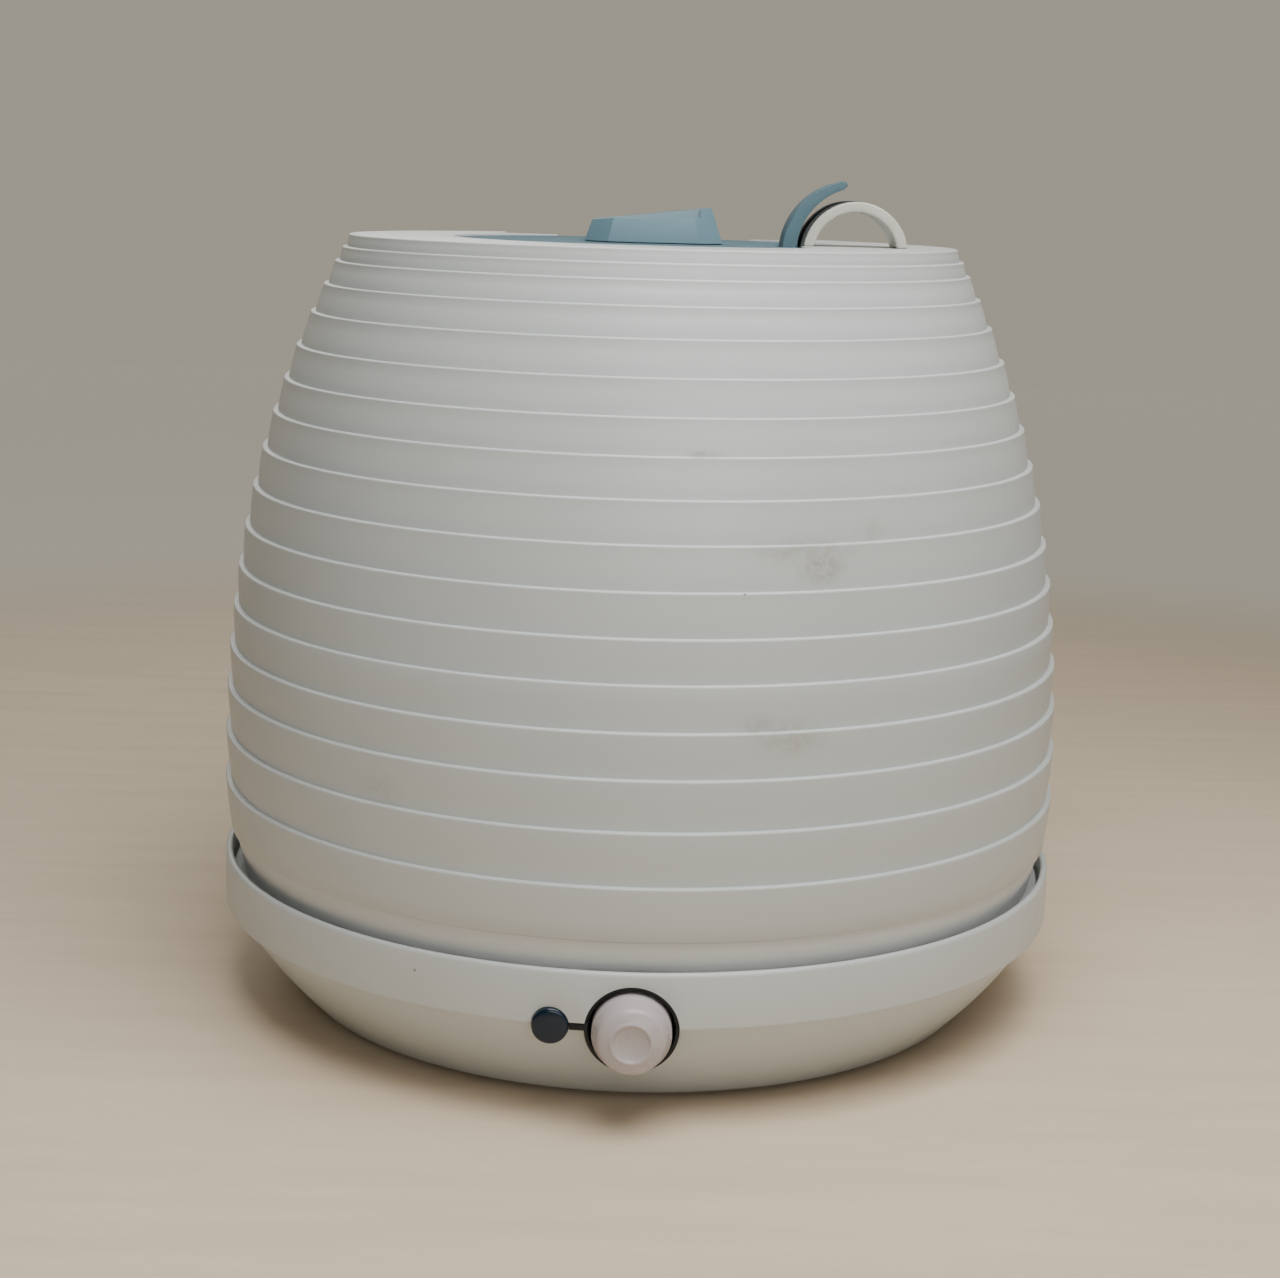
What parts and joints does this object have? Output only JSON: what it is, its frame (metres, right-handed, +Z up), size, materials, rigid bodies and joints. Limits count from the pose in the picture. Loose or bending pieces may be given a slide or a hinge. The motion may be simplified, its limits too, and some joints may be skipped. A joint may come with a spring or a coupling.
{
  "type": "cool mist humidifier",
  "caption": "Tabletop cool mist humidifier: a banded beehive water tank with a lid and turning nozzle, on a round mist base with a knob.",
  "frame": {"origin": "centre of the foot ring, on the surface the humidifier stands on", "axes": "+Z up, -Y to the front where the knob is, +X to the right as seen from the front"},
  "size_m": [0.25, 0.258, 0.242],
  "materials": {
    "white_shell": "satin off-white moulded plastic",
    "grey_inner": "satin light grey moulded plastic",
    "blue_plastic": "satin grey-blue moulded plastic",
    "black_plastic": "satin black plastic",
    "knob_white": "semi-gloss warm white plastic",
    "lens_blue": "deep blue translucent lens",
    "rubber": "soft dark rubber",
    "soft_grey": "grey sealing rubber",
    "steel": "bright steel",
    "brass": "nickel and brass disc",
    "aluminium": "extruded aluminium",
    "board_green": "solder-masked glass fibre board",
    "board_dark": "moulded electronic parts",
    "led": "clear blue lens",
    "float_white": "white closed-cell plastic"
  },
  "bodies": {
    "base": {"base_housing": "white_shell", "base_plate": "grey_inner", "foot_ring": "rubber", "base_screws": "steel", "water_basin": "grey_inner", "knob_bezel": "black_plastic", "indicator_lens": "lens_blue", "indicator_led": "led", "control_board": "board_green", "potentiometer": "steel", "transducer": "brass", "transducer_seal": "rubber", "transducer_clamp": "steel", "clamp_screws": "steel", "driver_board": "board_green", "board_parts": "board_dark", "heat_sink": "aluminium", "fan_frame": "black_plastic", "air_duct": "grey_inner", "float_clip": "steel", "float_switch": "board_green", "power_jack": "black_plastic"},
    "knob": {"control_knob": "knob_white", "knob_shaft": "steel"},
    "fan": {"fan_rotor": "black_plastic"},
    "float": {"float_ring": "float_white"},
    "tank": {"tank_shell": "white_shell", "loop_base": "white_shell", "tank_floor": "grey_inner", "tank_seal": "soft_grey", "mist_chimney": "white_shell", "finger_loop": "white_shell", "loop_pad": "rubber"},
    "valve_cap": {"valve_cap": "blue_plastic", "valve_gasket": "soft_grey", "valve_spring": "steel"},
    "valve_plunger": {"valve_plunger": "float_white", "valve_seal": "soft_grey"},
    "lid": {"lid_disc": "blue_plastic", "lid_seal": "soft_grey", "lever_pin": "steel", "lever_spring": "steel"},
    "lever": {"release_lever": "blue_plastic"},
    "nozzle": {"mist_nozzle": "blue_plastic"}
  },
  "joints": [
    {"name": "tank_lift", "type": "slide", "parent": "base", "child": "tank", "axis": [0, 0, 1], "range_m": [0, 0.12]},
    {"name": "lid_lift", "type": "slide", "parent": "tank", "child": "lid", "axis": [0, 0, 1], "range_m": [0, 0.06]},
    {"name": "nozzle_turn", "type": "hinge", "parent": "lid", "child": "nozzle", "pos_m": [0, 0, 0.2236], "axis": [0, 0, 1], "continuous": true},
    {"name": "lever_squeeze", "type": "hinge", "parent": "lid", "child": "lever", "pos_m": [0.0389, -0.008, 0.2171], "axis": [0, 1, 0], "range_deg": [0, 5.5], "stiffness_Nm_per_rad": 0.05, "springref_deg": -5.73},
    {"name": "valve_cap_turn", "type": "hinge", "parent": "tank", "child": "valve_cap", "pos_m": [-0.06, 0.025, 0.045], "axis": [0, 0, 1], "range_deg": [0, 60]},
    {"name": "valve_slide", "type": "slide", "parent": "valve_cap", "child": "valve_plunger", "axis": [0, 0, 1], "range_m": [-0.0035, 0], "deforming": ["valve_spring"]},
    {"name": "float_rise", "type": "slide", "parent": "base", "child": "float", "axis": [0, 0, 1], "range_m": [0, 0.003]},
    {"name": "fan_spin", "type": "hinge", "parent": "base", "child": "fan", "pos_m": [0, 0.062, 0.014], "axis": [0, 0, 1], "continuous": true},
    {"name": "knob_turn", "type": "hinge", "parent": "base", "child": "knob", "pos_m": [0, -0.12, 0.027], "axis": [0, 1, 0], "range_deg": [0, 280]}
  ],
  "couplings": [
    {"joint": "valve_slide", "follows": "tank_lift", "ratio": -0.029167}
  ]
}
